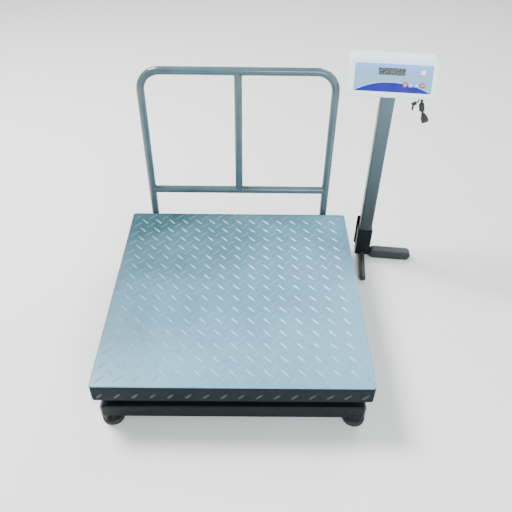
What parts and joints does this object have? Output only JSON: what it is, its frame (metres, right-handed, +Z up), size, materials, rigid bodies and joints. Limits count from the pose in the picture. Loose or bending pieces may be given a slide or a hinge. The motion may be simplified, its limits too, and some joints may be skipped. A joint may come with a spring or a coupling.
{
  "type": "platform scale",
  "caption": "Square chequered-plate weighing platform on a tubular frame with levelling feet, a tubular rear guard rail and a separate column stand with a tilting indicator.",
  "frame": {"origin": "on the floor under the middle of the whole object's box", "axes": "+Z up, the operator stands on the -Y side, +X towards the indicator stand"},
  "size_m": [0.8058, 0.6744, 0.6057],
  "materials": {
    "tread_plate": "blue-grey enamel on chequered plate",
    "rail_enamel": "grey-green gloss enamel",
    "frame_black": "black enamel",
    "pipe_grey": "worn grey enamel",
    "zinc_steel": "zinc plated",
    "cell_aluminium": "machined",
    "black_rubber": "moulded",
    "black_plastic": "moulded",
    "case_white": "satin ABS",
    "panel_print": "printed film",
    "clear_window": "clear",
    "display_grey": "reflective display",
    "key_red": "film key",
    "key_blue": "film key",
    "board_green": "solder mask",
    "lead_black": "flexible sheath"
  },
  "bodies": {
    "base": {"base_end_rails": "frame_black", "base_side_rails": "frame_black", "base_cross_beam": "frame_black", "base_end_caps": "black_plastic", "overload_stop_screws": "zinc_steel", "overload_stop_nuts": "zinc_steel", "load_cable_gland": "black_plastic", "load_cell": "cell_aluminium", "cell_lower_spacer": "zinc_steel", "cell_lower_bolts": "zinc_steel", "foot_nuts": "zinc_steel", "rail_hoop": "rail_enamel", "rail_crossbar": "rail_enamel", "rail_centre_post": "rail_enamel", "rail_sockets": "frame_black", "rail_bolts": "zinc_steel"},
    "weigh_frame": {"weigh_end_rails": "frame_black", "weigh_side_rails": "frame_black", "weigh_cross_beam": "frame_black", "cell_upper_spacer": "zinc_steel", "cell_upper_bolts": "zinc_steel", "platter_pads": "black_rubber"},
    "platter": {"platter_plate": "tread_plate"},
    "stand": {"stand_socket": "frame_black", "stand_column": "rail_enamel", "stand_socket_bolts": "zinc_steel", "stand_floor_pipe": "pipe_grey", "stand_pipe_caps": "black_plastic", "stand_side_bar": "frame_black", "stand_side_foot": "black_rubber", "stand_column_cap": "black_plastic", "tilt_bolt": "zinc_steel"},
    "tilt_knob": {"tilt_knob": "black_plastic"},
    "indicator": {"tilt_bracket": "frame_black", "indicator_front": "case_white", "indicator_rear": "case_white", "indicator_panel": "panel_print", "display_window": "clear_window", "display_module": "display_grey", "main_board": "board_green", "indicator_screws": "zinc_steel", "battery": "black_plastic", "lead_gland": "black_plastic", "lead_long": "lead_black", "lead_bead": "black_plastic", "lead_plug": "black_plastic", "angle_plug_relief": "black_plastic", "lead_angle_plug": "black_plastic"},
    "foot_front_left": {"foot_stud_front_left": "zinc_steel", "foot_pad_front_left": "black_rubber"},
    "foot_front_right": {"foot_stud_front_right": "zinc_steel", "foot_pad_front_right": "black_rubber"},
    "foot_rear_left": {"foot_stud_rear_left": "zinc_steel", "foot_pad_rear_left": "black_rubber"},
    "foot_rear_right": {"foot_stud_rear_right": "zinc_steel", "foot_pad_rear_right": "black_rubber"},
    "key_round_left": {"key_round_left": "key_red"},
    "key_square_left": {"key_square_left": "key_blue"},
    "key_square_right": {"key_square_right": "key_blue"},
    "key_round_right": {"key_round_right": "key_red"}
  },
  "joints": [
    {"name": "foot_front_left_screw", "type": "slide", "parent": "base", "child": "foot_front_left", "axis": [0, 0, -1], "range_m": [0, 0.012]},
    {"name": "foot_front_right_screw", "type": "slide", "parent": "base", "child": "foot_front_right", "axis": [0, 0, -1], "range_m": [0, 0.012]},
    {"name": "foot_rear_left_screw", "type": "slide", "parent": "base", "child": "foot_rear_left", "axis": [0, 0, -1], "range_m": [0, 0.012]},
    {"name": "foot_rear_right_screw", "type": "slide", "parent": "base", "child": "foot_rear_right", "axis": [0, 0, -1], "range_m": [0, 0.012]},
    {"name": "weigh_frame_sink", "type": "slide", "parent": "base", "child": "weigh_frame", "axis": [0, 0, -1], "range_m": [0, 0.001], "stiffness_N_per_m": 2940000, "springref_m": -0.00007, "deforming": ["load_cell"]},
    {"name": "platter_lift", "type": "slide", "parent": "weigh_frame", "child": "platter", "axis": [0, 0, 1], "range_m": [0, 0.15]},
    {"name": "stand_lift", "type": "slide", "parent": "base", "child": "stand", "axis": [0, 0, 1], "range_m": [0, 0.25]},
    {"name": "indicator_tilt", "type": "hinge", "parent": "stand", "child": "indicator", "pos_m": [0.26207, 0.26482, 0.545], "axis": [-0.9945, 0.1045, 0], "range_deg": [-6, 27]},
    {"name": "tilt_knob_turn", "type": "hinge", "parent": "stand", "child": "tilt_knob", "pos_m": [0.26207, 0.26482, 0.545], "axis": [0.9945, -0.1045, 0], "range_deg": [0, 180]},
    {"name": "key_round_left_press", "type": "slide", "parent": "indicator", "child": "key_round_left", "axis": [0.0923, 0.8781, -0.4695], "range_m": [0, 0.0008], "stiffness_N_per_m": 1000, "springref_m": -0.0005},
    {"name": "key_square_left_press", "type": "slide", "parent": "indicator", "child": "key_square_left", "axis": [0.0923, 0.8781, -0.4695], "range_m": [0, 0.0008], "stiffness_N_per_m": 1000, "springref_m": -0.0005},
    {"name": "key_square_right_press", "type": "slide", "parent": "indicator", "child": "key_square_right", "axis": [0.0923, 0.8781, -0.4695], "range_m": [0, 0.0008], "stiffness_N_per_m": 1000, "springref_m": -0.0005},
    {"name": "key_round_right_press", "type": "slide", "parent": "indicator", "child": "key_round_right", "axis": [0.0923, 0.8781, -0.4695], "range_m": [0, 0.0008], "stiffness_N_per_m": 1000, "springref_m": -0.0005}
  ]
}
